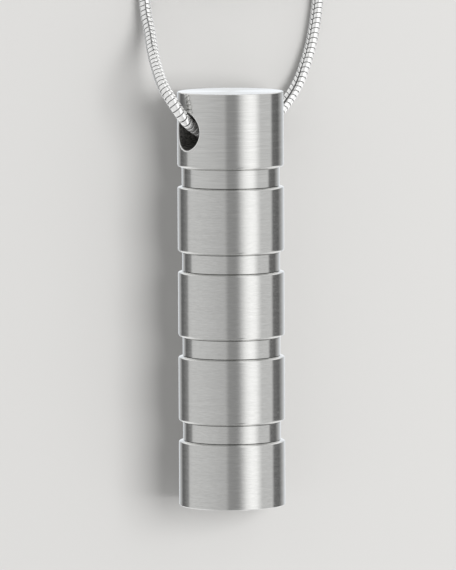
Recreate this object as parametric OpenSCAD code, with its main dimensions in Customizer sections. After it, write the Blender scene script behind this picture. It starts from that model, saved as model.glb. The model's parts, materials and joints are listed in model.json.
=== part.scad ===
// Cryptex pendant: a hanger cap, three plain code bands and an end cap in brushed steel,
// with a vial locked inside the barrel, hung through a cross hole on a snake chain.
// It lies on its side: its length runs along Y with the hanger cap towards +Y, and +Z is up.

/* [Bands] */
// Outer diameter of the bands
band_d = 13.5; // [13.4:0.1:14.4]
// Diameter of the grooves between the bands
groove_d = 12.42; // [12.3:0.02:12.8]
// Length of the hanger cap's band, down to the foot of its bevel
cap_band_h = 9.65; // [9.6:0.01:12]
// Length of a code ring, from foot to foot of its bevels
ring_h = 8.53; // [8:0.01:10]
// Length of the groove between two bands
groove_h = 2.27; // [2.2:0.01:3]
// Length of the end cap's band, up to the foot of its bevel
end_band_h = 8.36; // [8:0.01:10]
// Slope of the bevel at a band's lower end, from the pendant's axis
low_slope = 65; // [55:1:70]
// Radius of the round at the lower bevel's outer corner
low_corner_r = 0.35; // [0.2:0.05:0.4]
// Slope of the bevel at a band's upper end, from the pendant's axis
top_slope = 72; // [60:1:75]
// Radius of the round at the upper bevel's outer corner
top_corner_r = 0.15; // [0.1:0.05:0.2]
// Edge break on the two end faces
edge_break = 0.12; // [0.05:0.01:0.3]

/* [Hanging hole] */
// Diameter of the cross hole
hole_d = 4.8; // [4:0.1:5]
// Distance from the top face to the hole's axis
hole_drop = 4.85; // [4.6:0.05:5]
// Tilt of the hole's axis above the surface that the pendant lies on
hole_tilt = 33; // [25:1:40]

/* [Lock] */
// Outside diameter of the barrel that carries the rings
barrel_d = 9.4; // [9.2:0.1:9.6]
// Bore of the barrel
barrel_bore_d = 8; // [8:0.1:8.2]
// Outside diameter of the gate rings
gate_d = 11.4; // [11.2:0.1:11.5]
// Diameter of the track that each pin runs in
track_d = 10.6; // [10.5:0.1:10.8]
// Diameter of the vial's pins
pin_d = 1; // [0.8:0.1:1]
// Number of click positions of a ring
clicks = 12; // [6:6:12]
// Diameter of the detent balls
ball_d = 0.8; // [0.7:0.05:0.8]

/* [Vial] */
// Outside diameter of the vial
vial_d = 7.9; // [7.7:0.1:7.94]
// Bore of the vial
vial_bore_d = 6; // [5.8:0.1:6.2]

/* [Chain] */
// Diameter of the snake chain
chain_d = 1.5; // [1.2:0.1:1.5]
// Largest mean radius of the coil's turns
coil_r = 9.75; // [9.75:0.25:12]

/* [Hidden] */
$fn = 96;

// Bands: radii, heights and the places of the rings along the axis, from the bottom face
band_r = band_d / 2;
groove_r = groove_d / 2;
rings = 3;
total_h = end_band_h + cap_band_h + rings * ring_h + (rings + 1) * groove_h;
cap_z = total_h - cap_band_h;
// Play of a ring: it rests on the collar under it, and the wider gap is above it
low_gap = 0.03;
top_gap = 0.05;
shell_h = ring_h - low_gap - top_gap;
// Turned relief line at the foot of the hanger cap's bevel
relief = 0.05;
function ring_z(i) = end_band_h + groove_h + (rings - i) * (ring_h + groove_h);
function ring_top(i) = ring_z(i) + ring_h - top_gap;
function pin_z(i) = ring_z(i) + low_gap + shell_h / 2;

// Lock: running clearances and the keys
barrel_r = barrel_d / 2;
fit = 0.01;
running = 0.05;
gate_ri = barrel_r + running;
gate_ro = gate_d / 2;
shell_ri = gate_ro + 0.02;
track_r = track_d / 2;
track_w = 1.3;
gate_reach = track_r + 0.06;
slot_w = pin_d + 0.1;
pin_tip_r = track_r - 0.1;
pin_root_r = vial_bore_d / 2 + 0.3;
spline_r = 0.25;
spline_inset = 0.1;
key_w = 0.8;
key_depth = 0.28;
barrel_low = end_band_h + top_gap;
barrel_top = total_h - hole_drop - hole_d / 2 - 1.15;
slot_top = pin_z(1) + pin_d / 2 + 0.1;

// Detents: a ball under a spring in the collar above each ring
ball_r = ball_d / 2;
ball_track_r = (gate_ri + gate_ro) / 2;
ball_sink = ball_r / 2;
ball_hole_r = ball_r + 0.02;
ball_hole_h = 1.6;
dimple_h = 0.31;
dimple_floor_r = 0.1;
dimple_lip = 0.1;
spring_wire_r = 0.06;
spring_r = ball_hole_r - spring_wire_r - 0.03;
spring_turns = 5;

// Vial, its neck seal and its screw
vial_r = vial_d / 2;
vial_bore_r = vial_bore_d / 2;
seal_h = 0.45;
vial_top = barrel_top - seal_h - 0.03;
vial_low = end_band_h - 3;
vial_floor = 10.6;
o_ring_z = vial_top - 2;
o_ring_r = 0.25;
o_ring_mid_r = barrel_bore_d / 2 - 0.03 - o_ring_r;
screw_r = 1;
screw_low = 3.4;
screw_head_r = 1.9;
screw_head_h = 1.3;

// Chain: the coil and the clasp line beyond the hanger cap
chain_r = chain_d / 2;
coil_y = 50;
coil_layers = 4;
clasp_y = 63;
clasp_x = -4.4;
clasp_z = 1.65;
link_z = 2.2;
link_r = 1.9;
link_wire_r = 0.3;
jump_ring_x = -2;
tail_ring_x = 10.85;
tail_drop = 0.5;
crimp_r = 1.2;
crimp_h = 3.6;
crimp_bore_h = 2.6;
crimp_loop_r = 1;
crimp_foot_x = crimp_h + 0.9;
link_reach = 1.6;

// Clasp: the eye, the tapered belly with its slot, the claw and the lever
eye_r = 1.6;
eye_bore_r = 0.8;
eye_h = 0.8;
neck_x = 2.5;
neck_r = 1.2;
belly_x = 4.6;
belly_r = 2.2;
belly_h = 2;
slot_x = 3.1;
slot_floor_y = -0.2;
slot_h = 1;
claw_x = 7.6;
claw_r = 2.4;
claw_bar_r = 0.45;
claw_start = 215;
claw_sweep = 217;
pivot_x = 4.3;
pivot_y = 1;
pivot_r = 0.35;
lever_h = 0.9;
lever_half_w = 0.42;
boss_r = 0.85;
thumb_a = 125;
lever_reach = 4.64;

// Route of the left half of the chain: through the cross hole, over the cap's corner,
// down to the surface and on to the coil
route_left = [
    [0, 20.3, 6.75], [-1.7, 20.5, 7.85], [-3.3, 21.1, 8.9], [-4.7, 22, 9.9],
    [-5.7, 23, 10.8], [-6.5, 24.1, 10.9], [-7.3, 25.3, 10.4], [-8.4, 27, 9],
    [-9.2, 29, 6.8], [-9.8, 31.2, 4.5], [-10.2, 33.6, 2.5], [-10.7, 36.2, 1.2],
    [-10.9, 39, 0.8], [-10.7, 42, 0.75], [-10.2, 45.2, 0.75], [-9.8, 48.4, 0.75]
];
// Route of the right half, which leaves the hole on the side towards the surface
route_right = [
    [0, 20.3, 6.75], [1.7, 20.6, 5.65], [3.3, 21.3, 4.6], [4.6, 22.2, 3.7],
    [5.8, 23.1, 2.9], [6.8, 24.2, 2.3], [7.7, 25.4, 1.8], [8.75, 27.2, 1.4],
    [9.6, 29.4, 1.1], [10.35, 32, 0.85], [10.9, 35, 0.75], [11.25, 38, 0.75],
    [11.3, 41, 1], [11, 43.8, 1.8], [10.4, 46.4, 3], [9.8, 49, 3.75]
];
// Routes from the coil to the two chain ends
tail_left = [
    [-1, 40.6, 2.3], [-5, 40.9, 2.4], [-9, 42.2, 2.5], [-12.6, 44.6, 2.1],
    [-15.4, 48, 1.3], [-17, 52, 0.8], [-17.3, 56.2, 0.8], [-16.6, 59.4, 0.9],
    [-15, 61.8, 1.1], [-12.6, 62.9, 1.2], [-10.2, 63, 1.2]
];
tail_right = [
    [1, 40.6, 5.25], [5, 40.9, 5.1], [9, 42.1, 4.4], [12.8, 44.6, 3],
    [15.6, 48.2, 1.7], [17.2, 52.2, 1], [17.5, 56, 0.8], [16.8, 59, 0.9],
    [15.1, 61.4, 1.1], [12.7, 62.4, 1.2], [10.3, 62.5, 1.2]
];

// Places a piece modelled along +Z, from the pendant's bottom face, on the lying axis
module on_axis() {
    translate([0, -total_h / 2, band_r])
        rotate([-90, 0, 0])
            children();
}

// Half section of a bevel whose foot is at z = 0, as points from the foot outwards
function bevel(slope, corner_r, n = 4) =
    let (c = cos(slope), s = sin(slope))
    let (mid_r = band_r - corner_r)
    let (mid_z = ((mid_r - groove_r) * c + corner_r) / s)
    [[groove_r, 0], for (k = [0:n])
        let (a = -slope * (1 - k / n))
        [mid_r + corner_r * cos(a), mid_z + corner_r * sin(a)]];

// Bevel of a band's lower end, with its foot at z = 0
function low_bevel() = bevel(low_slope, low_corner_r);

// Bevel of a band's upper end, with its foot at z = h, as points from outside inwards
function top_bevel(h) =
    let (p = bevel(top_slope, top_corner_r))
    [for (k = [len(p) - 1:-1:0]) [p[k][0], h - p[k][1]]];

module tube_ring(ro, ri, z0, h) {
    translate([0, 0, z0])
        difference() {
            cylinder(r = ro, h = h);
            translate([0, 0, -1])
                cylinder(r = ri, h = h + 2);
        }
}

// Radial notch that lets the vial's pins pass, on the slot's side
module pin_notch(width, reach, z0, h) {
    translate([-width / 2, -reach, z0])
        cube([width, reach, h]);
}

// Pocket of a detent ball and its spring, above a ring's top face
module detent_hole(i) {
    translate([ball_track_r, 0, ring_top(i) - 0.5])
        cylinder(r = ball_hole_r, h = 0.5 + top_gap + ball_hole_h, $fn = 32);
}

module hanger_cap() color([0.78, 0.78, 0.77]) {
    on_axis() difference() {
        rotate_extrude()
            polygon(concat(
                [[0, cap_z - groove_h], [groove_r, cap_z - groove_h]],
                [[groove_r, cap_z - relief], [groove_r - relief, cap_z - relief / 2]],
                [for (p = low_bevel()) [p[0], cap_z + p[1]]],
                [[band_r, total_h - edge_break], [band_r - edge_break, total_h], [0, total_h]]));
        translate([0, 0, cap_z - groove_h - 1])
            cylinder(r = barrel_r + fit, h = barrel_top + 0.05 - cap_z + groove_h + 1);
        translate([0, 0, total_h - hole_drop])
            rotate([0, 0, hole_tilt])
                rotate([0, 90, 0])
                    cylinder(d = hole_d, h = 2 * band_d, center = true, $fn = 64);
        detent_hole(1);
    }
}

module barrel_tube() color([0.7, 0.7, 0.7]) {
    on_axis() difference() {
        tube_ring(barrel_r, barrel_bore_d / 2, barrel_low, barrel_top - barrel_low);
        pin_notch(slot_w, barrel_d, barrel_low - 1, slot_top - barrel_low + 1);
        translate([-key_w / 2, barrel_r - key_depth, barrel_low - 1])
            cube([key_w, 1, cap_z - groove_h - barrel_low + 1]);
    }
}

// Collar under a ring's upper neighbour: it fills the groove and carries the next detent
module spacer_collar(i) color([0.76, 0.76, 0.75]) {
    z0 = ring_z(i) - groove_h;
    on_axis() {
        difference() {
            tube_ring(groove_r, barrel_r + fit, z0, groove_h);
            pin_notch(track_w, track_r, z0 - 1, groove_h + 2);
            detent_hole(i + 1);
        }
        translate([-key_w / 2 + 0.02, barrel_r - key_depth + 0.02, z0])
            cube([key_w - 0.04, key_depth, groove_h]);
    }
}

module grub_hole() {
    translate([0, 0, end_band_h + groove_h / 2])
        rotate([-90, 0, 0])
            cylinder(r = 0.71, h = band_r, $fn = 32);
}

module retaining_collar() color([0.76, 0.76, 0.75]) {
    on_axis() difference() {
        tube_ring(groove_r, barrel_r + fit, barrel_low, groove_h - top_gap);
        pin_notch(track_w, track_r, barrel_low - 1, groove_h + 2);
        grub_hole();
    }
}

// Headless screw that locks the last collar: its tip sits in the barrel's keyway
module collar_grub_screw() color([0.35, 0.35, 0.36]) {
    on_axis()
        translate([0, 0, end_band_h + groove_h / 2])
            rotate([-90, 0, 0])
                difference() {
                    union() {
                        translate([0, 0, barrel_r - key_depth + 0.02])
                            cylinder(r = key_w / 2 - 0.03, h = 0.5, $fn = 24);
                        translate([0, 0, barrel_r + 0.03])
                            cylinder(r = 0.7, h = groove_r - barrel_r - 0.13, $fn = 32);
                    }
                    translate([0, 0, groove_r - 0.7])
                        cylinder(r = 0.36, h = 1, $fn = 6);
                }
}

module ring_shell(i) color([0.79, 0.79, 0.78]) {
    h = shell_h;
    on_axis() translate([0, 0, ring_z(i) + low_gap]) difference() {
        rotate_extrude()
            polygon(concat([[shell_ri, 0]], low_bevel(), top_bevel(h), [[shell_ri, h]]));
        for (k = [0:clicks - 1])
            rotate([0, 0, k * 360 / clicks])
                translate([shell_ri, 0, -1])
                    cylinder(r = spline_r, h = h + 2, $fn = 24);
    }
}

// Inner ring: a track for one pin, a gate through both lands, click dimples and splines
module gate_ring(i) color([0.72, 0.68, 0.5]) {
    h = shell_h;
    on_axis() translate([0, 0, ring_z(i) + low_gap]) difference() {
        union() {
            tube_ring(gate_ro, gate_ri, 0, h);
            for (k = [0:2])
                rotate([0, 0, 30 + k * 120])
                    translate([gate_ro - 0.02, 0, spline_inset])
                        cylinder(r = spline_r - 0.03, h = h - 2 * spline_inset, $fn = 24);
        }
        translate([0, 0, (h - track_w) / 2])
            cylinder(r = track_r, h = track_w);
        pin_notch(track_w, gate_reach, -1, h + 2);
        for (k = [0:clicks - 1])
            rotate([0, 0, k * 360 / clicks])
                translate([ball_track_r, 0, h - dimple_h])
                    cylinder(
                        r1 = dimple_floor_r,
                        r2 = dimple_floor_r + dimple_h + dimple_lip,
                        h = dimple_h + dimple_lip,
                        $fn = 32
                    );
    }
}

module detent_ball(i) color([0.85, 0.85, 0.86]) {
    on_axis() translate([ball_track_r, 0, ring_top(i) + ball_sink])
        sphere(r = ball_r, $fn = 32);
}

// Ring of n points round a route point, square to the route there
function route_ring(p, i, r, n) =
    let (a = p[max(i - 1, 0)], b = p[min(i + 1, len(p) - 1)])
    let (t = (b - a) / norm(b - a))
    let (side = cross(t, [0, 0, 1]) / norm(cross(t, [0, 0, 1])))
    let (up = cross(side, t))
    [for (k = [0:n - 1]) p[i] + r * (cos(360 * k / n) * side + sin(360 * k / n) * up)];

// Tube of n sides swept along a route
module sweep(p, r, n = 8) {
    m = len(p);
    pts = [for (i = [0:m - 1]) each route_ring(p, i, r, n)];
    walls = [for (i = [0:m - 2]) for (k = [0:n - 1])
        let (a = i * n + k, b = i * n + (k + 1) % n)
        each [[a, b, b + n], [a, b + n, a + n]]];
    start = [for (k = [n - 1:-1:0]) k];
    finish = [for (k = [0:n - 1]) (m - 1) * n + k];
    polyhedron(points = pts, faces = concat(walls, [start, finish]));
}

// Points of a helix of the given turns along +Z, 12 to a turn
function helix(r, h, turns) =
    let (n = turns * 12)
    [for (k = [0:n]) [r * cos(k * 30), r * sin(k * 30), h * k / n]];

module detent_spring(i) color([0.6, 0.6, 0.62]) {
    low = ring_top(i) + ball_sink + 0.36;
    high = ring_top(i) + top_gap + ball_hole_h - spring_wire_r - 0.04;
    on_axis() translate([ball_track_r, 0, low])
        sweep(helix(spring_r, high - low, spring_turns), spring_wire_r, 6);
}

// Soft disc at the blind end, against the vial's mouth
module mouth_seal() color([0.12, 0.12, 0.12]) {
    on_axis() translate([0, 0, barrel_top - seal_h])
        cylinder(r = barrel_bore_d / 2 - 0.02, h = seal_h);
}

module vial_tube() color([0.74, 0.74, 0.75]) {
    on_axis() difference() {
        translate([0, 0, vial_low])
            cylinder(r = vial_r, h = vial_top - vial_low);
        translate([0, 0, vial_floor])
            cylinder(r = vial_bore_r, h = vial_top);
        translate([0, 0, vial_low - 1])
            cylinder(r = screw_r + 0.03, h = vial_floor, $fn = 32);
        for (i = [1:rings])
            translate([0, -pin_root_r, pin_z(i)])
                rotate([90, 0, 0])
                    cylinder(r = pin_d / 2 + fit, h = vial_r, $fn = 32);
        translate([0, 0, o_ring_z - o_ring_r - 0.03])
            difference() {
                cylinder(r = vial_r + 1, h = 2 * o_ring_r + 0.06);
                translate([0, 0, -1])
                    cylinder(r = o_ring_mid_r - o_ring_r - 0.01, h = 3);
            }
    }
}

module vial_pin(i) color([0.82, 0.82, 0.84]) {
    on_axis() translate([0, -pin_root_r - 0.01, pin_z(i)])
        rotate([90, 0, 0])
            cylinder(r = pin_d / 2, h = pin_tip_r - pin_root_r - 0.01, $fn = 32);
}

module vial_o_ring() color([0.1, 0.1, 0.1]) {
    on_axis() translate([0, 0, o_ring_z])
        rotate_extrude()
            translate([o_ring_mid_r, 0])
                circle(r = o_ring_r, $fn = 24);
}

module vial_screw() color([0.5, 0.5, 0.52]) {
    on_axis() difference() {
        union() {
            translate([0, 0, screw_low])
                cylinder(r = screw_r, h = vial_floor - screw_low + 0.1, $fn = 32);
            translate([0, 0, vial_floor])
                cylinder(r = screw_head_r, h = screw_head_h, $fn = 48);
        }
        translate([0, 0, vial_floor + screw_head_h - 0.8])
            cylinder(r = 0.87, h = 1, $fn = 6);
    }
}

module end_cap() color([0.79, 0.79, 0.78]) {
    on_axis() difference() {
        rotate_extrude()
            polygon(concat(
                [[0, 0], [band_r - edge_break, 0], [band_r, edge_break]],
                top_bevel(end_band_h), [[0, end_band_h]]));
        translate([0, 0, vial_low - 0.02])
            cylinder(r = vial_r + fit, h = end_band_h);
        translate([0, 0, screw_low - 0.3])
            cylinder(r = screw_r + fit, h = end_band_h, $fn = 32);
    }
}

module chain_left() color([0.85, 0.85, 0.85]) sweep(route_left, chain_r);

module chain_right() color([0.85, 0.85, 0.85]) sweep(route_right, chain_r);

module chain_tail_left() color([0.85, 0.85, 0.85]) sweep(tail_left, chain_r);

module chain_tail_right() color([0.85, 0.85, 0.85]) sweep(tail_right, chain_r);

module chain_coil() color([0.8, 0.8, 0.8]) {
    translate([0, coil_y, 0])
        tube_ring(coil_r + chain_r, coil_r - 5 * chain_r, 0, coil_layers * chain_d);
}

// Places a piece of the clasp line: x along it, with the plane of the clasp at z = 0
module on_clasp_line(z = clasp_z) {
    translate([clasp_x, clasp_y, z])
        children();
}

// Crimped tube with a soldered loop, its loop centre at x = 0 and its tube towards -X
module chain_end() {
    rotate_extrude()
        translate([crimp_loop_r, 0])
            circle(r = link_wire_r, $fn = 24);
    translate([-crimp_foot_x, 0, 0])
        rotate([0, 90, 0])
            difference() {
                cylinder(r = crimp_r, h = crimp_h, $fn = 48);
                translate([0, 0, -0.1])
                    cylinder(r = chain_r + 0.03, h = crimp_bore_h + 0.1, $fn = 32);
            }
}

module chain_end_left() color([0.8, 0.8, 0.8]) {
    on_clasp_line(crimp_r)
        translate([jump_ring_x - link_reach, 0, 0])
            chain_end();
}

module chain_end_right() color([0.8, 0.8, 0.8]) {
    on_clasp_line(crimp_r)
        translate([tail_ring_x + link_reach, -tail_drop, 0])
            mirror([1, 0, 0])
                chain_end();
}

module wire_ring() {
    rotate([90, 0, 0])
        rotate_extrude($fn = 64)
            translate([link_r, 0])
                circle(r = link_wire_r, $fn = 24);
}

module jump_ring() color([0.82, 0.82, 0.82]) {
    on_clasp_line(link_z)
        translate([jump_ring_x, 0, 0])
            wire_ring();
}

module tail_ring() color([0.82, 0.82, 0.82]) {
    on_clasp_line(link_z)
        translate([tail_ring_x, -tail_drop, 0])
            wire_ring();
}

// Claw: an eye for the jump ring, a slotted body for the lever and a round hook
module clasp_body() color([0.8, 0.8, 0.8]) {
    on_clasp_line() difference() {
        union() {
            tube_ring(eye_r, eye_bore_r, -eye_h / 2, eye_h);
            translate([0, 0, -belly_h / 2])
                linear_extrude(belly_h)
                    hull() {
                        translate([neck_x, 0])
                            circle(r = neck_r, $fn = 48);
                        translate([belly_x, 0])
                            circle(r = belly_r, $fn = 64);
                    }
            translate([claw_x, 0, 0])
                rotate([0, 0, claw_start])
                    rotate_extrude(angle = claw_sweep, $fn = 96)
                        translate([claw_r, 0])
                            circle(r = claw_bar_r, $fn = 24);
        }
        translate([claw_x, 0, -belly_h])
            cylinder(r = claw_r - claw_bar_r, h = 2 * belly_h);
        translate([slot_x, slot_floor_y, -slot_h / 2])
            cube([claw_x - slot_x, belly_r + 1, slot_h]);
        translate([pivot_x, pivot_y, -belly_h])
            cylinder(r = pivot_r + fit, h = 2 * belly_h, $fn = 32);
        intersection() {
            translate([pivot_x, pivot_y, -belly_h])
                cylinder(r = lever_reach + 0.06, h = 2 * belly_h);
            translate([claw_x, 0.8, -belly_h - 1])
                cube([claw_r + 1, claw_r + 1, 2 * belly_h + 2]);
        }
    }
}

module clasp_lever() color([0.84, 0.84, 0.84]) {
    on_clasp_line() translate([0, 0, -lever_h / 2]) linear_extrude(lever_h) difference() {
        intersection() {
            translate([pivot_x, pivot_y])
                circle(r = lever_reach);
            lever_outline();
        }
        translate([pivot_x, pivot_y])
            circle(r = pivot_r + 0.04, $fn = 32);
    }
}

// The lever seen square on: an arc that closes the claw, an arm to its boss and a thumb pad
module lever_outline() {
    intersection() {
        difference() {
            translate([claw_x, 0])
                circle(r = claw_r + lever_half_w);
            translate([claw_x, 0])
                circle(r = claw_r - lever_half_w);
        }
        polygon([for (a = [42, 70, 95, 120, 148]) [claw_x + 5 * cos(a), 5 * sin(a)], [claw_x, 0]]);
    }
    translate([pivot_x, pivot_y])
        circle(r = boss_r, $fn = 48);
    translate([pivot_x, pivot_y])
        rotate(8)
            translate([0, -0.55])
                square([1.5, 1.2]);
    translate([claw_x + 3.1 * cos(thumb_a), 3.1 * sin(thumb_a)])
        circle(r = 0.55, $fn = 32);
}

module clasp_pin() color([0.65, 0.65, 0.66]) {
    on_clasp_line() translate([pivot_x, pivot_y, -belly_h / 2])
        cylinder(r = pivot_r, h = belly_h, $fn = 32);
}

// Flat spring in the slot, behind the lever's root
module clasp_spring() color([0.6, 0.6, 0.6]) {
    on_clasp_line() translate([slot_x + 0.02, slot_floor_y + 0.02, -0.4])
        cube([0.12, 1.9, 0.8]);
}

hanger_cap();
barrel_tube();
spacer_collar(1);  // spacer_collar_1
spacer_collar(2);  // spacer_collar_2
retaining_collar();
collar_grub_screw();
ring_shell(1);  // ring_shell_1
ring_shell(2);  // ring_shell_2
ring_shell(3);  // ring_shell_3
gate_ring(1);  // gate_ring_1
gate_ring(2);  // gate_ring_2
gate_ring(3);  // gate_ring_3
detent_ball(1);  // detent_ball_1
detent_ball(2);  // detent_ball_2
detent_ball(3);  // detent_ball_3
detent_spring(1);  // detent_spring_1
detent_spring(2);  // detent_spring_2
detent_spring(3);  // detent_spring_3
mouth_seal();
vial_tube();
vial_pin(1);  // vial_pin_1
vial_pin(2);  // vial_pin_2
vial_pin(3);  // vial_pin_3
vial_o_ring();
vial_screw();
end_cap();
chain_left();
chain_right();
chain_coil();
chain_tail_left();
chain_tail_right();
chain_end_left();
chain_end_right();
jump_ring();
tail_ring();
clasp_body();
clasp_lever();
clasp_pin();
clasp_spring();
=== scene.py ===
"""Looks of the cryptex pendant: brushed steel bands, a snake chain of small links, and a
polished clasp, on a pale floor in soft studio light."""
import json
import math

import bpy
from mathutils import Matrix, Vector
from mathutils.geometry import delaunay_2d_cdt


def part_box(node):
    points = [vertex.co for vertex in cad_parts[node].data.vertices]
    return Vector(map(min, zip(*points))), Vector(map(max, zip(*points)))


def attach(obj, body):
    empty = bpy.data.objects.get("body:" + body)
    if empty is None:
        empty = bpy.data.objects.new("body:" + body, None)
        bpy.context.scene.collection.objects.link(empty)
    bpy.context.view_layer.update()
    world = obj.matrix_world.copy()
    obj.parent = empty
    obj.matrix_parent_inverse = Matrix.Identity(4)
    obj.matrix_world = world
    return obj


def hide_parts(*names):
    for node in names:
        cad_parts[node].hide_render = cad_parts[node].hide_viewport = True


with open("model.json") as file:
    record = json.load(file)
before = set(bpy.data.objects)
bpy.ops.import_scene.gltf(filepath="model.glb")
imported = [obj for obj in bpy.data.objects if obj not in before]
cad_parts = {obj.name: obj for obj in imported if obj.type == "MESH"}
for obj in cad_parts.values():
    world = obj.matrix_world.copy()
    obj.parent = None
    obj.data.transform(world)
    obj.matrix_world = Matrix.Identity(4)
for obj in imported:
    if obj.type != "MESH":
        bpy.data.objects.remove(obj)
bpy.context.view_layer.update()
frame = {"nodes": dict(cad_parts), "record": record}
nodes = frame["nodes"]

BAND_R = 0.00675                     # radius of the bands, and height of the pendant's axis
AXIS_Z = BAND_R
CHAIN_D = 0.0015
COIL_Y = 0.05
COIL_R = 0.00975                     # largest mean radius of the coil's turns
COIL_TURNS = 3.75
HOLE_Y = 0.02149                     # where the cross hole's axis meets the pendant's
HOLE_TILT = math.radians(33)


# ---------------------------------------------------------------- camera

CAMERA_PLACE = Vector((0, 0.0848, 0.88675))
CAMERA_AIM = Vector((-0.00041, 0.0017, 0.00675))
CAMERA_ROLL = math.radians(0.3)


def make_camera():
    data = bpy.data.cameras.new("camera")
    cam = bpy.data.objects.new("camera", data)
    bpy.context.scene.collection.objects.link(cam)
    data.sensor_fit = "HORIZONTAL"
    data.sensor_width = 36
    data.lens = 549.9
    data.clip_start, data.clip_end = 0.05, 10
    ahead = (CAMERA_AIM - CAMERA_PLACE).normalized()
    side = ahead.cross(Vector((0, 1, 0))).normalized()
    top = side.cross(ahead)
    right = side * math.cos(CAMERA_ROLL) - top * math.sin(CAMERA_ROLL)
    up = side * math.sin(CAMERA_ROLL) + top * math.cos(CAMERA_ROLL)
    cam.matrix_world = Matrix((right, up, -ahead)).transposed().to_4x4()
    cam.location = CAMERA_PLACE
    bpy.context.scene.camera = cam


# ---------------------------------------------------------------- chain route

def mm(points):
    """Vectors in metres from points in millimetres."""
    return [Vector(p) / 1000 for p in points]


ROUTE_LEFT = mm([
    (0, 20.3, 6.75), (-1.7, 20.5, 7.85), (-3.3, 21.1, 8.9), (-4.7, 22, 9.9),
    (-5.7, 23, 10.8), (-6.5, 24.1, 10.9), (-7.3, 25.3, 10.4), (-8.4, 27, 9),
    (-9.2, 29, 6.8), (-9.8, 31.2, 4.5), (-10.2, 33.6, 2.5), (-10.7, 36.2, 1.2),
    (-10.9, 39, 0.8), (-10.7, 42, 0.75), (-10.2, 45.2, 0.75), (-9.8, 48.4, 0.75)])
ROUTE_RIGHT = mm([
    (0, 20.3, 6.75), (1.7, 20.6, 5.65), (3.3, 21.3, 4.6), (4.6, 22.2, 3.7),
    (5.8, 23.1, 2.9), (6.8, 24.2, 2.3), (7.7, 25.4, 1.8), (8.75, 27.2, 1.4),
    (9.6, 29.4, 1.1), (10.35, 32, 0.85), (10.9, 35, 0.75), (11.25, 38, 0.75),
    (11.3, 41, 1), (11, 43.8, 1.8), (10.4, 46.4, 3), (9.8, 49, 3.75)])
TAIL_LEFT = mm([
    (-1, 40.6, 2.3), (-5, 40.9, 2.4), (-9, 42.2, 2.5), (-12.6, 44.6, 2.1),
    (-15.4, 48, 1.3), (-17, 52, 0.8), (-17.3, 56.2, 0.8), (-16.6, 59.4, 0.9),
    (-15, 61.8, 1.1), (-12.6, 62.9, 1.2), (-10.2, 63, 1.2)])
TAIL_RIGHT = mm([
    (1, 40.6, 5.25), (5, 40.9, 5.1), (9, 42.1, 4.4), (12.8, 44.6, 3),
    (15.6, 48.2, 1.7), (17.2, 52.2, 1), (17.5, 56, 0.8), (16.8, 59, 0.9),
    (15.1, 61.4, 1.1), (12.7, 62.4, 1.2), (10.3, 62.5, 1.2)])


def coil(side, low):
    """Points of the turns from (side * COIL_R, COIL_Y): a spiral inwards by a diameter a turn
    for two turns, a climb of one diameter, and a spiral outwards again."""
    points = []
    steps = int(COIL_TURNS * 24)
    for i in range(1, steps + 1):
        turn = COIL_TURNS * i / steps
        r = COIL_R - CHAIN_D * (turn if turn < 2 else 4 - turn)
        climb = min(max((turn - 1.94) / 0.12, 0), 1)
        z = low + CHAIN_D * climb * climb * (3 - 2 * climb)
        a = 2 * math.pi * turn
        points.append(Vector((side * r * math.cos(a), COIL_Y + r * math.sin(a), z)))
    return points


def smooth_line(points, step):
    """Catmull-Rom curve through the points, as points about step apart, and its length."""
    dense = []
    ends = [2 * points[0] - points[1]] + list(points) + [2 * points[-1] - points[-2]]
    for a, b, c, d in zip(ends, ends[1:], ends[2:], ends[3:]):
        t0 = 0.0
        t1 = t0 + math.sqrt((b - a).length)
        t2 = t1 + math.sqrt((c - b).length)
        t3 = t2 + math.sqrt((d - c).length)
        for k in range(12):
            t = t1 + (t2 - t1) * k / 12
            p = a * ((t1 - t) / (t1 - t0)) + b * ((t - t0) / (t1 - t0))
            q = b * ((t2 - t) / (t2 - t1)) + c * ((t - t1) / (t2 - t1))
            s = c * ((t3 - t) / (t3 - t2)) + d * ((t - t2) / (t3 - t2))
            u = p * ((t2 - t) / (t2 - t0)) + q * ((t - t0) / (t2 - t0))
            v = q * ((t3 - t) / (t3 - t1)) + s * ((t - t1) / (t3 - t1))
            dense.append(u * ((t2 - t) / (t2 - t1)) + v * ((t - t1) / (t2 - t1)))
    dense.append(points[-1])
    lengths = [0.0]
    for a, b in zip(dense, dense[1:]):
        lengths.append(lengths[-1] + (b - a).length)
    total = lengths[-1]
    count = round(total / step)
    line, j = [], 0
    for i in range(count + 1):
        s = total * i / count
        while j < len(dense) - 2 and lengths[j + 1] < s:
            j += 1
        f = (s - lengths[j]) / max(lengths[j + 1] - lengths[j], 1e-12)
        line.append(dense[j].lerp(dense[j + 1], min(max(f, 0), 1)))
    return line, total


def frames_along(line):
    """(point, tangent, upward normal, sideways normal) at each point of a line that is never
    upright."""
    out = []
    for i, p in enumerate(line):
        t = (line[min(i + 1, len(line) - 1)] - line[max(i - 1, 0)]).normalized()
        normal = (Vector((0, 0, 1)) - t * t.z).normalized()
        out.append((p, t, normal, t.cross(normal)))
    return out


# ---------------------------------------------------------------- meshes

def new_object(name, verts, faces, smooth=True):
    mesh = bpy.data.meshes.new(name)
    mesh.from_pydata([tuple(v) for v in verts], [], faces)
    mesh.update()
    if smooth:
        mesh.shade_smooth()
    obj = bpy.data.objects.new(name, mesh)
    bpy.context.scene.collection.objects.link(obj)
    return obj


PITCH = 0.00065                      # length of one link along the chain
COLUMNS = 3                          # plates round the chain
STARTS_BACK = 0.33                   # how far back the first plates start, in links
AROUND = 7                           # faces across a plate
EDGE_DROP = 0.06                     # how far a plate's side edges sink, as a share of its radius
CORE_R = 0.00062
CORE_SIDES = 10
# a plate along the chain: place in links from its middle, and radius in millimetres
PLATE_PROFILE = (
    (-0.44, 0.63), (-0.43, 0.735), (-0.36, 0.748), (0.3, 0.75), (0.41, 0.74), (0.43, 0.64))


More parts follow.
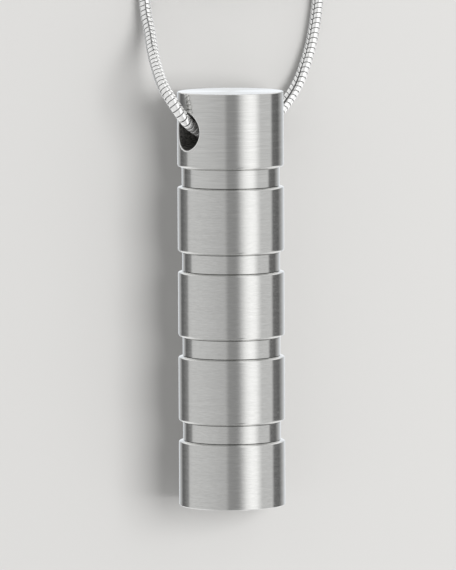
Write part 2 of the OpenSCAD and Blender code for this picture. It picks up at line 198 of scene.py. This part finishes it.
def snake_chain(name, line, lie, bow):
    """Links of plates in three columns, each column a third of a link further on, and the core
    that shows between them, painted dark as the shade in the gaps. The middle of a plate runs
    ahead of its side edges by bow links.
    lie(distance) gives the angle of the first seam at that distance along the chain, and the
    share of a column's width that its plates cover there."""
    rail = frames_along(line)
    count = len(line) - 1

    def at(s):
        s = min(max(s, 0), count)
        i = min(int(s), count - 1)
        f = s - i
        a, b = rail[i], rail[i + 1]
        return [x.lerp(y, f) for x, y in zip(a, b)]

    verts, faces, shaded = [], [], []
    column_angle = 2 * math.pi / COLUMNS
    rows = len(PLATE_PROFILE)
    for i in range(count):
        turn, cover = lie(i * PITCH)
        for c in range(COLUMNS):
            middle = i + 0.5 + c / COLUMNS - STARTS_BACK
            base = len(verts)
            for k in range(AROUND + 1):
                u = k / AROUND * 2 - 1
                angle = turn + column_angle * (c + 0.5 + 0.5 * cover * u)
                ahead = bow * (1 - u * u)
                edge = 1 - EDGE_DROP * u ** 6
                for along, radius in PLATE_PROFILE:
                    p, _, n, b = at(middle + along + ahead)
                    r = radius * edge * 0.001
                    verts.append(p + n * (r * math.cos(angle)) + b * (r * math.sin(angle)))
            for k in range(AROUND):
                for j in range(rows - 1):
                    q = base + k * rows + j
                    faces.append((q, q + rows, q + rows + 1, q + 1))
                    # the plates' end faces, in the gaps, take the dark material: painted shade
                    # between the links
                    shaded.append(int(j in (0, rows - 2)))
    links = new_object(name, verts, faces)
    links.data.materials.append(LINK)
    links.data.materials.append(GAP_SHADE)
    links.data.polygons.foreach_set("material_index", shaded)

    core_verts, core_faces = [], []
    for i, (p, _, n, b) in enumerate(rail):
        here, following = i * CORE_SIDES, (i + 1) * CORE_SIDES
        for k in range(CORE_SIDES):
            a = 2 * math.pi * k / CORE_SIDES
            core_verts.append(p + n * (CORE_R * math.cos(a)) + b * (CORE_R * math.sin(a)))
            if i < count:
                j = (k + 1) % CORE_SIDES
                core_faces.append((here + k, here + j, following + j, following + k))
    core_faces.append(tuple(range(CORE_SIDES - 1, -1, -1)))
    core_faces.append(tuple(count * CORE_SIDES + k for k in range(CORE_SIDES)))
    core = new_object(name + "_core", core_verts, core_faces)
    core.data.materials.append(GAP_SHADE)
    return links, core


# ---------------------------------------------------------------- materials

def principled(name, color, roughness, metallic=1.0):
    mat = bpy.data.materials.new(name)
    mat.use_nodes = True
    shader = mat.node_tree.nodes["Principled BSDF"]
    shader.inputs["Base Color"].default_value = (*color, 1)
    shader.inputs["Roughness"].default_value = roughness
    shader.inputs["Metallic"].default_value = metallic
    return mat, mat.node_tree, shader


def math_node(tree, operation, a, b=None):
    """Output of a Math node whose inputs are numbers or other nodes' outputs."""
    node = tree.nodes.new("ShaderNodeMath")
    node.operation = operation
    for slot, value in zip(node.inputs, (a, b)):
        if value is None:
            continue
        if isinstance(value, (int, float)):
            slot.default_value = value
        else:
            tree.links.new(value, slot)
    return node.outputs[0]


def noise(tree, vector, scale, detail=3.0, rough=0.6):
    node = tree.nodes.new("ShaderNodeTexNoise")
    node.inputs["Scale"].default_value = scale
    node.inputs["Detail"].default_value = detail
    node.inputs["Roughness"].default_value = rough
    tree.links.new(vector, node.inputs["Vector"])
    return node.outputs["Fac"]


def remap(tree, value, low, high, to_low, to_high):
    node = tree.nodes.new("ShaderNodeMapRange")
    node.inputs["From Min"].default_value = low
    node.inputs["From Max"].default_value = high
    node.inputs["To Min"].default_value = to_low
    node.inputs["To Max"].default_value = to_high
    tree.links.new(value, node.inputs["Value"])
    return node.outputs["Result"]


def mix_colors(tree, factor, a, b):
    """Output of a Mix node between two plain colours."""
    node = tree.nodes.new("ShaderNodeMix")
    node.data_type = "RGBA"
    tree.links.new(factor, node.inputs["Factor"])
    node.inputs["A"].default_value = (*a, 1)
    node.inputs["B"].default_value = (*b, 1)
    return node.outputs["Result"]


def object_place(tree):
    return tree.nodes.new("ShaderNodeTexCoord").outputs["Object"]


def round_the_axis(tree, along, round_):
    """Vector whose first part is the angle round the pendant's axis and whose second is the
    place along it, each times its own scale."""
    place = object_place(tree)
    split = tree.nodes.new("ShaderNodeSeparateXYZ")
    tree.links.new(place, split.inputs[0])
    height = math_node(tree, "SUBTRACT", split.outputs["Z"], AXIS_Z)
    angle = math_node(tree, "ARCTAN2", split.outputs["X"], height)
    join = tree.nodes.new("ShaderNodeCombineXYZ")
    tree.links.new(math_node(tree, "MULTIPLY", angle, round_), join.inputs[0])
    tree.links.new(math_node(tree, "MULTIPLY", split.outputs["Y"], along), join.inputs[1])
    return join.outputs[0]


def brushed(name, color, roughness, anisotropy, grain, length=1.0):
    """Metal with fine lines of that relative length round the pendant's axis. grain is how much
    their tone varies."""
    mat, tree, shader = principled(name, color, roughness)
    tangent = tree.nodes.new("ShaderNodeTangent")
    tangent.direction_type = "RADIAL"
    tangent.axis = "Y"
    tree.links.new(tangent.outputs[0], shader.inputs["Tangent"])
    shader.inputs["Anisotropic"].default_value = anisotropy
    shader.inputs["Anisotropic Rotation"].default_value = 0.25
    per_mm = 1000
    fine = noise(tree, round_the_axis(tree, per_mm, 0.35 / length), 6, 2, 0.6)
    broad = noise(tree, round_the_axis(tree, per_mm, 0.15 / length), 2.2, 2, 0.5)
    both = math_node(tree, "ADD", math_node(tree, "MULTIPLY", fine, 0.65),
                     math_node(tree, "MULTIPLY", broad, 0.35))
    tree.links.new(remap(tree, both, 0.3, 0.7, roughness - 0.05, roughness + 0.06),
                   shader.inputs["Roughness"])
    tone = mix_colors(tree, remap(tree, both, 0.32, 0.68, 0, 1),
                      [c * (1 - grain) for c in color], [min(c * (1 + grain), 1) for c in color])
    tree.links.new(tone, shader.inputs["Base Color"])
    bump = tree.nodes.new("ShaderNodeBump")
    bump.inputs["Strength"].default_value = 2.5 * grain
    bump.inputs["Distance"].default_value = 0.00002
    tree.links.new(fine, bump.inputs["Height"])
    tree.links.new(bump.outputs[0], shader.inputs["Normal"])
    return mat


def polished(name, color, roughness, metallic=1.0):
    """Bright metal with faint handling marks."""
    mat, tree, shader = principled(name, color, roughness, metallic)
    marks = noise(tree, object_place(tree), 3000, 4, 0.65)
    tree.links.new(remap(tree, marks, 0.35, 0.65, roughness * 0.75, roughness * 1.3),
                   shader.inputs["Roughness"])
    return mat


def bore_with_painted_shade(name):
    """Rough wall of the cross hole, with faint marks along it, painted dark as the shade inside
    the hole.
    """
    # painted shade: the dark base colour here and the dark tones of the marks below stand in for
    # the shade in the hole
    mat, tree, shader = principled(name, (0.3, 0.29, 0.275), 0.5)
    turn = tree.nodes.new("ShaderNodeMapping")
    turn.inputs["Rotation"].default_value = (0, -HOLE_TILT, 0)
    turn.inputs["Scale"].default_value = (400, 6000, 6000)
    tree.links.new(object_place(tree), turn.inputs[0])
    marks = noise(tree, turn.outputs[0], 1, 3, 0.6)
    tone = mix_colors(tree, remap(tree, marks, 0.38, 0.62, 0, 1),
                      (0.16, 0.155, 0.15), (0.55, 0.54, 0.52))
    tree.links.new(tone, shader.inputs["Base Color"])
    return mat


def rubber(name):
    """Matt black rubber, unevenly dull."""
    mat, tree, shader = principled(name, (0.02, 0.02, 0.021), 0.6, 0)
    marks = noise(tree, object_place(tree), 4000)
    tree.links.new(remap(tree, marks, 0.3, 0.7, 0.52, 0.7), shader.inputs["Roughness"])
    return mat


CAP = brushed("cap_steel", (0.63, 0.63, 0.617), 0.17, 0.85, 0.08)
BAND = brushed("band_steel", (0.63, 0.63, 0.617), 0.17, 0.85, 0.065, 0.3)
TUBE = brushed("tube_steel", (0.56, 0.56, 0.565), 0.28, 0.6, 0.1)
BRASS = brushed("gate_brass", (0.75, 0.56, 0.29), 0.25, 0.5, 0.1)
HARD = polished("hard_steel", (0.66, 0.66, 0.67), 0.14)
SCREW = polished("screw_steel", (0.33, 0.33, 0.34), 0.32)
SEAL = rubber("seal_rubber")
# painted shade: the hole's wall is darker than the cap's steel, for the shade inside the hole
BORE_PAINTED_SHADE = bore_with_painted_shade("bore_painted_shade")
# painted highlight: the mouths' rounding is lighter than the cap's steel, as the rim light round
# the hole
MOUTH_HIGHLIGHT = polished("mouth_painted_highlight", (0.88, 0.88, 0.87), 0.4)
LINK = polished("chain_steel", (0.91, 0.91, 0.9), 0.24, metallic=0.72)
# painted shade: dark colour for the chain's core and the plates' end faces, where the gaps fall
# into shade
GAP_SHADE = polished("chain_gap_painted_shade", (0.27, 0.27, 0.27), 0.5)
CLASP = polished("clasp_steel", (0.7, 0.7, 0.695), 0.12)
BY_SLOT = {
    "band_steel": BAND, "tube_steel": TUBE, "gate_brass": BRASS, "hard_steel": HARD,
    "screw_steel": SCREW, "seal_rubber": SEAL, "chain_steel": LINK, "clasp_steel": CLASP}


def paint(obj, mat):
    obj.data.materials.clear()
    obj.data.materials.append(mat)


for part in frame["record"]["subparts"]:
    paint(nodes[part["node"]], BY_SLOT[part["material_slot"]])


# ---------------------------------------------------------------- hanger cap

CAP_BAND_H = 0.00965                 # the cap's band, from the foot of its bevel to its top
GROOVE_R = 0.00621
BEVEL_SLOPE = math.radians(65)
BEVEL_CORNER = 0.00035               # rounding where the bevel meets the band
BRIM = 0.00016                       # rounding of the top edge
RELIEF = 0.00002                     # fine notch at the bevel's foot
SEAT_R = 0.00471                     # bore that holds the barrel, and where it ends
SEAT_END = 0.01798
HOLE_R = 0.0024
RIM = 0.00017                        # rounding of the cross hole's mouths
SEGMENTS = 144                       # faces round the cap
MOUTH_POINTS = 72
BAND_ROWS = 18
WALL_ROWS = 6


def on_axis(radius, angle, y):
    """Point at that radius and angle round the pendant's axis, 0 up and growing towards +X."""
    return Vector((radius * math.sin(angle), y, AXIS_Z + radius * math.cos(angle)))


class Patchwork:
    """A mesh made of patches, each corner with its own exact normal."""

    def __init__(self):
        self.verts, self.index, self.faces, self.normals, self.mats = [], {}, [], [], []

    def vertex(self, p):
        key = tuple(round(c * 1e8) for c in p)
        if key not in self.index:
            self.index[key] = len(self.verts)
            self.verts.append(tuple(p))
        return self.index[key]

    def face(self, corners, mat=0):
        """corners are (point, normal) pairs; the winding is set from the normals."""
        ids, kept = [], []
        for p, n in corners:
            i = self.vertex(p)
            if i not in ids:
                ids.append(i)
                kept.append((p, n))
        if len(ids) < 3:
            return
        a, b, c = kept[0][0], kept[1][0], kept[2][0]
        out = sum((n for _, n in kept), Vector())
        if (b - a).cross(c - a).dot(out) < 0:
            ids.reverse()
            kept.reverse()
        self.faces.append(ids)
        self.normals.extend(tuple(n) for _, n in kept)
        self.mats.append(mat)

    def strip(self, one, other, mat=0):
        """Quads between two rings of (point, normal) pairs."""
        for i in range(len(one)):
            j = (i + 1) % len(one)
            self.face([one[i], one[j], other[j], other[i]], mat)

    def build(self, name, *mats):
        obj = new_object(name, self.verts, self.faces)
        obj.data.normals_split_custom_set(self.normals)
        for mat in mats:
            obj.data.materials.append(mat)
        for polygon, mat in zip(obj.data.polygons, self.mats):
            polygon.material_index = mat
        return obj


def lathe(work, profile):
    """Turned surface from stretches between two (radius, y, normal) points."""
    for (r0, y0, n0), (r1, y1, n1) in profile:
        rings = []
        for r, y, n in ((r0, y0, n0), (r1, y1, n1)):
            ring = []
            for k in range(SEGMENTS):
                a = 2 * math.pi * k / SEGMENTS - math.pi
                normal = Vector((n[0] * math.sin(a), n[1], n[0] * math.cos(a))).normalized()
                ring.append((on_axis(r, a, y), normal))
            rings.append(ring)
        work.strip(rings[0], rings[1])


def mouth_loop(side, radius, sink=0.0):
    """Points where a cylinder of that radius round the hole's axis meets the band, moved inwards
    by sink along the hole's axis, with the hole's own directions."""
    along = Vector((side * math.cos(HOLE_TILT), 0, -side * math.sin(HOLE_TILT)))
    across = Vector((math.sin(HOLE_TILT), 0, math.cos(HOLE_TILT)))
    centre = Vector((0, HOLE_Y, AXIS_Z))
    loop = []
    for k in range(MOUTH_POINTS):
        t = 2 * math.pi * k / MOUTH_POINTS
        out = Vector((0, math.cos(t), 0)) + across * math.sin(t)
        reach = math.sqrt(BAND_R ** 2 - (radius * math.sin(t)) ** 2) - sink
        loop.append((centre + along * reach + out * radius, out))
    return loop


def rounding(centre_r, centre_y, radius, angles):
    """(radius, y, normal) points on a rounded edge."""
    points = []
    for a in angles:
        n = (math.cos(a), math.sin(a))
        points.append((centre_r + radius * n[0], centre_y + radius * n[1], n))
    return points


def cap_profile(low, top):
    """Every turned stretch of the cap but its band, and the places along the axis where the
    band starts and ends."""
    foot = top - CAP_BAND_H
    corner_r = BAND_R - BEVEL_CORNER
    rise = (corner_r - GROOVE_R) * math.cos(BEVEL_SLOPE) + BEVEL_CORNER
    corner_y = foot + rise / math.sin(BEVEL_SLOPE)
    bevel = [(GROOVE_R, foot, (math.cos(BEVEL_SLOPE), -math.sin(BEVEL_SLOPE)))]
    bevel += rounding(corner_r, corner_y, BEVEL_CORNER,
                      [-BEVEL_SLOPE * (1 - k / 6) for k in range(7)])
    brim = rounding(BAND_R - BRIM, top - BRIM, BRIM, [math.pi / 2 * k / 5 for k in range(6)])
    # the neck's end face and side, and the notch between it and the bevel
    notch = (GROOVE_R - RELIEF, foot - RELIEF / 2)
    pairs = [((SEAT_R, low, (0, -1)), (GROOVE_R, low, (0, -1))),
             ((GROOVE_R, low, (1, 0)), (GROOVE_R, foot - RELIEF, (1, 0))),
             ((GROOVE_R, foot - RELIEF, (1, 2)), (*notch, (1, 2))),
             ((*notch, (1, -2)), (GROOVE_R, foot, (1, -2)))]
    pairs += list(zip(bevel, bevel[1:])) + list(zip(brim, brim[1:]))
    # the top face, and the seat in the neck
    radii = [brim[-1][0]] + [BAND_R * f for f in (0.85, 0.65, 0.45, 0.25, 0.08)] + [0.0]
    pairs += [((a, top, (0, 1)), (b, top, (0, 1))) for a, b in zip(radii, radii[1:])]
    pairs += [((SEAT_R, low, (-1, 0)), (SEAT_R, SEAT_END, (-1, 0))),
              ((SEAT_R, SEAT_END, (0, -1)), (0.0, SEAT_END, (0, -1)))]
    return pairs, bevel[-1][1], brim[0][1]


def cut_band(work, band_low, band_top):
    """The band between those two places, meshed unrolled with its two mouths cut out."""
    points, edges, mouths = [], [], []
    for j in range(BAND_ROWS + 1):
        y = band_low + (band_top - band_low) * j / BAND_ROWS
        for k in range(SEGMENTS + 1):
            points.append(Vector(((2 * math.pi * k / SEGMENTS - math.pi) * BAND_R, y)))
    wide = SEGMENTS + 1
    for k in range(SEGMENTS):
        edges += [(k, k + 1), (BAND_ROWS * wide + k, BAND_ROWS * wide + k + 1)]
    for j in range(BAND_ROWS):
        edges += [(j * wide, (j + 1) * wide), (j * wide + SEGMENTS, (j + 1) * wide + SEGMENTS)]
    for side in (-1, 1):
        flat = [Vector((math.atan2(p.x, p.z - AXIS_Z) * BAND_R, p.y))
                for p, _ in mouth_loop(side, HOLE_R + RIM)]
        middle = sum(flat, Vector((0, 0))) / len(flat)
        mouths.append((flat, middle, max((q - middle).length for q in flat)))

    def in_mouth(q, margin):
        for _, middle, reach in mouths:
            if (q - middle).length > reach + margin:
                continue
            place = Vector((BAND_R * math.sin(q.x / BAND_R), BAND_R * math.cos(q.x / BAND_R)))
            across = place.x * math.sin(HOLE_TILT) + place.y * math.cos(HOLE_TILT)
            if math.hypot(across, q.y - HOLE_Y) < HOLE_R + RIM + margin:
                return True
        return False

    # points too near a mouth's edge are left out, so that no sliver forms there
    border = {i for e in edges for i in e}
    kept = [i for i, q in enumerate(points) if i in border or not in_mouth(q, 0.00008)]
    renumber = {old: new for new, old in enumerate(kept)}
    points = [points[i] for i in kept]
    edges = [(renumber[a], renumber[b]) for a, b in edges]
    for flat, _, _ in mouths:
        start = len(points)
        points += flat
        edges += [(start + k, start + (k + 1) % len(flat)) for k in range(len(flat))]
    made, _, triangles, *_ = delaunay_2d_cdt(points, edges, [], 0, 1e-9)
    for triangle in triangles:
        centre = sum((made[i] for i in triangle), Vector((0, 0))) / 3
        if in_mouth(centre, -0.000002):
            continue
        corners = []
        for i in triangle:
            a = made[i].x / BAND_R
            corners.append((on_axis(BAND_R, a, made[i].y), Vector((math.sin(a), 0, math.cos(a)))))
        work.face(corners)


def cross_hole(work):
    """The rounded mouths and the wall between them."""
    ends = []
    for side in (-1, 1):
        outer = mouth_loop(side, HOLE_R + RIM)
        corner = mouth_loop(side, HOLE_R)
        inner = mouth_loop(side, HOLE_R, RIM)
        rings = []
        for k in range(6):
            w = k / 5
            ring = []
            for (po, out), (pc, _), (pi, _) in zip(outer, corner, inner):
                p = po * (1 - w) ** 2 + pc * (2 * w * (1 - w)) + pi * w ** 2
                radial = Vector((po.x, 0, po.z - AXIS_Z)).normalized()
                ring.append((p, (radial * (1 - w) - out * w).normalized()))
            rings.append(ring)
        # the rounded mouths take material 2, painted lighter as their highlight
        for one, other in zip(rings, rings[1:]):
            work.strip(one, other, 2)
        ends.append([(p, -out) for p, out in inner])
    walls = []
    for k in range(WALL_ROWS + 1):
        walls.append([(a.lerp(b, k / WALL_ROWS), n) for (a, n), (b, _) in zip(*ends)])
    # the wall takes material 1, whose dark colour is painted shade
    for one, other in zip(walls, walls[1:]):
        work.strip(one, other, 1)


def hanger_cap():
    """The cap as the CAD has it, with its edges and the hole's mouths rounded over."""
    box_low, box_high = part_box("hanger_cap")
    pairs, band_low, band_top = cap_profile(box_low.y, box_high.y)
    work = Patchwork()
    lathe(work, pairs)
    cut_band(work, band_low, band_top)
    cross_hole(work)
    return work.build("hanger_cap_rounded", CAP, BORE_PAINTED_SHADE, MOUTH_HIGHLIGHT)


# ---------------------------------------------------------------- pieces

def make_chain(side, route, tail, low, lie, bow, label):
    """One half of the chain, from the cross hole through its coil to its tail."""
    line, length = smooth_line(route + coil(side, low) + tail, PITCH)
    links, core = snake_chain("chain_links_" + label, line, lie, bow)
    for obj in (links, core):
        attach(obj, "pendant")
    return links, core, line, length


LEVER_PIVOT = Vector((-0.0001, 0.064))
TIP_DEPTH = 0.00002                  # points this near the furthest one are the lever's tip
CORNER_WIDTH = 0.00001               # and those this near the tip's lowest one its inner corner
CORNER_CUT = 0.0001                  # taken off that corner


def blunt_lever():
    """The lever as the CAD has it, with the corner that would graze the ring in the claw cut back
    along the tip's end face."""
    source = nodes["clasp_lever"]
    mesh = source.data.copy()
    places = [source.matrix_world @ v.co for v in mesh.vertices]
    reaches = [(p.xy - LEVER_PIVOT).length for p in places]
    tip = [i for i, reach in enumerate(reaches) if reach > max(reaches) - TIP_DEPTH]
    low = min(places[i].y for i in tip)
    back = source.matrix_world.inverted()
    for i in tip:
        if places[i].y < low + CORNER_WIDTH:
            mesh.vertices[i].co = back @ (places[i] + Vector((0, CORNER_CUT, 0)))
    mesh.update()
    obj = bpy.data.objects.new("clasp_lever_blunt", mesh)
    bpy.context.scene.collection.objects.link(obj)
    obj.matrix_world = source.matrix_world
    return obj


make_camera()
lever = blunt_lever()
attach(lever, "lever")
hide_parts("clasp_lever")
cap = hanger_cap()
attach(cap, "pendant")
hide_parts("hanger_cap")


def ease(s, start, end):
    """0 before start and 1 after end, both in millimetres, for a distance in metres."""
    f = min(max((s * 1000 - start) / (end - start), 0), 1)
    return f * f * (3 - 2 * f)


def lie_left(s):
    """Past the cap, the left strand turns one of its seams to the front."""
    return 0.8 - 0.7 * ease(s, 15, 20), 1.0 - 0.07 * ease(s, 16, 19)


def lie_right(s):
    """The right strand shows a seam all along, and a wider one near the cap."""
    return -0.3 - 0.22 * ease(s, 11, 15), 0.86 + 0.07 * ease(s, 13.5, 15)


left, left_core, left_line, left_length = make_chain(
    -1, ROUTE_LEFT, TAIL_LEFT, 0.00075, lie_left, -0.2, "left")
right, right_core, right_line, right_length = make_chain(
    1, ROUTE_RIGHT, TAIL_RIGHT, 0.00375, lie_right, 0.35, "right")
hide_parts("chain_left", "chain_tail_left", "chain_coil")
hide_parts("chain_right", "chain_tail_right")


# ---------------------------------------------------------------- studio

# the light tent's soft boxes and dark flags: angle round the pendant's axis in degrees, 0
# straight up and growing towards +X, then brightness
STRIPES = (
    (-180, 1.12), (-157, 0.68), (-146, 0.54), (-136, 0.15), (-128, 0.18), (-111, 0.33),
    (-105, 0.75), (-94, 0.79), (-60, 0.74), (-14, 0.62), (-6, 0.38), (7, 0.36),
    (13.5, 0.46), (21.5, 1.02), (30, 1.25), (43, 1.43), (54, 1.36), (68, 0.77),
    (97, 0.77), (104, 0.2), (124, 0.16), (140, 0.52), (157, 0.82), (180, 1.12))
COOL_FROM = 150                      # beyond this angle the boxes are a little blue
COOL = 1.035
DRAW_IN = 0.3                        # how fast the stripes close in towards the axis's ends
BOX_EDGE = math.radians(22)          # the bright box's edge, and how far it leans at most
BOX_LEAN = math.radians(12)
END_LEVEL = 0.72                     # the even field straight along the axis
TABLE_LEVEL = 1.15


def make_floor():
    floor = new_object("floor", [(-1.5, -1.5, 0), (1.5, -1.5, 0), (1.5, 1.5, 0), (-1.5, 1.5, 0)],
                       [(0, 1, 2, 3)], smooth=False)
    mat, _, shader = principled("floor_pale", (0.53, 0.525, 0.515), 0.9, 0)
    shader.inputs["Specular IOR Level"].default_value = 0.0
    paint(floor, mat)
    floor.visible_glossy = False


def make_key():
    """Soft light that casts the shadow on the floor and isn't seen in the steel."""
    data = bpy.data.lights.new("key", "AREA")
    data.shape = "RECTANGLE"
    data.size, data.size_y = 0.5, 0.5
    data.energy = 9
    key = bpy.data.objects.new("key", data)
    bpy.context.scene.collection.objects.link(key)
    place = Vector((0.5, 0.1, 0.9))
    key.location = place
    key.rotation_euler = (-place).to_track_quat("-Z", "Y").to_euler()
    key.visible_camera = False
    key.visible_glossy = False


def fill_ramp(ramp):
    """Color ramp round the whole turn, from the stripes."""
    elements = ramp.color_ramp.elements
    while len(elements) > 1:
        elements.remove(elements[-1])
    for i, (degrees, level) in enumerate(STRIPES):
        spot = (degrees + 180) / 360
        e = elements[0] if i == 0 else elements.new(spot)
        e.position = spot
        cool = COOL if abs(degrees) > COOL_FROM else 1
        e.color = (level / cool, level, level * cool, 1)


def make_world():
    """Light tent round the pendant's axis, whose stripes the steel reflects."""
    world = bpy.data.worlds.new("tent")
    bpy.context.scene.world = world
    world.use_nodes = True
    tree = world.node_tree
    split = tree.nodes.new("ShaderNodeSeparateXYZ")
    tree.links.new(tree.nodes.new("ShaderNodeTexCoord").outputs["Generated"], split.inputs[0])
    x, y, z = split.outputs
    # the stripes close in towards the ends of the axis, so that a bevel shows the same ones as
    # its band
    angle = math_node(tree, "ARCTAN2", x, z)
    off_axis = math_node(tree, "SUBTRACT", 1, math_node(tree, "POWER", y, 2))
    # the edge of the bright box leans, so that the dark stripe widens towards the end cap
    from_edge = math_node(tree, "ABSOLUTE", math_node(tree, "SUBTRACT", angle, BOX_EDGE))
    lean = math_node(tree, "MULTIPLY", remap(tree, y, -0.2, -0.06, 1, 0),
                     remap(tree, from_edge, math.radians(6), math.radians(28), BOX_LEAN, 0))
    drawn_in = math_node(tree, "MULTIPLY", math_node(tree, "SUBTRACT", angle, lean),
                         math_node(tree, "POWER", off_axis, DRAW_IN))
    ramp = tree.nodes.new("ShaderNodeValToRGB")
    ramp.color_ramp.interpolation = "LINEAR"
    fill_ramp(ramp)
    tree.links.new(remap(tree, drawn_in, -math.pi, math.pi, 0, 1), ramp.inputs[0])
    # a pale table under both ends, and the even field straight along the axis
    along = math_node(tree, "ABSOLUTE", y)
    table = math_node(tree, "MULTIPLY", remap(tree, along, 0.2, 0.35, 0, 1),
                      remap(tree, z, -0.3, -0.05, TABLE_LEVEL, 0))
    lit = tree.nodes.new("ShaderNodeMix")
    lit.data_type = "RGBA"
    lit.blend_type = "LIGHTEN"
    lit.inputs["Factor"].default_value = 1
    tree.links.new(ramp.outputs[0], lit.inputs["A"])
    tree.links.new(table, lit.inputs["B"])
    tent = tree.nodes.new("ShaderNodeMix")
    tent.data_type = "RGBA"
    tree.links.new(remap(tree, along, 0.965, 0.995, 0, 1), tent.inputs["Factor"])
    tree.links.new(lit.outputs["Result"], tent.inputs["A"])
    tent.inputs["B"].default_value = (END_LEVEL, END_LEVEL, END_LEVEL, 1)
    tree.links.new(tent.outputs["Result"], tree.nodes["Background"].inputs["Color"])


make_floor()
make_key()
make_world()
bpy.context.scene.view_settings.view_transform = "Standard"
